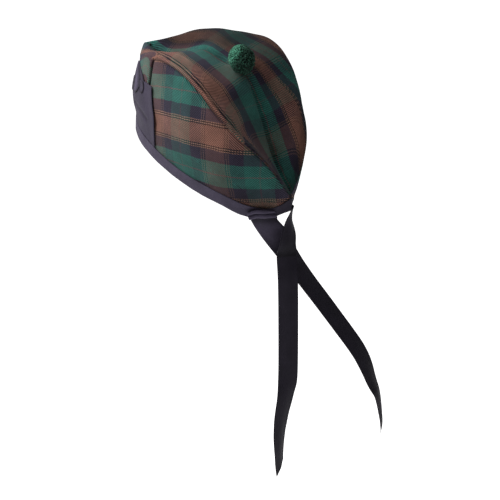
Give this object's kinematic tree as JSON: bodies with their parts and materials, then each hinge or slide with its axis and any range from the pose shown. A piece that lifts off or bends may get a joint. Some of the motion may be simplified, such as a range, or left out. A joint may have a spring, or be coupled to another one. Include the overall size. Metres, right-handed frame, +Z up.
{
  "type": "glengarry cap",
  "caption": "Boat-shaped tartan wool cap with a creased crown, ribbon-bound rim, pompom, ribbon cockade and crossed ribbon tails at the back.",
  "frame": {"origin": "centre of the head opening, level with the middle of its rim", "axes": "+Z up as worn, -Y the way the wearer faces, +X the wearer's left; the cap is pitched 12 degrees with its front up and the tails hang along -Z"},
  "size_m": [0.1574, 0.3132, 0.5004],
  "materials": {
    "tartan_wool": "green, brown and dark tartan twill",
    "tartan_wool_crown": "brown, green and dark tartan twill",
    "grosgrain_ribbon": "dark ribbed grosgrain",
    "pompom_wool": "cut green wool yarn"
  },
  "bodies": {
    "root": {"side_left": "tartan_wool", "side_right": "tartan_wool", "crown": "tartan_wool_crown", "band": "grosgrain_ribbon", "cockade_patch": "grosgrain_ribbon", "cockade_bow": "grosgrain_ribbon", "toorie": "pompom_wool", "tail_left": "grosgrain_ribbon", "tail_right": "grosgrain_ribbon"}
  },
  "joints": []
}
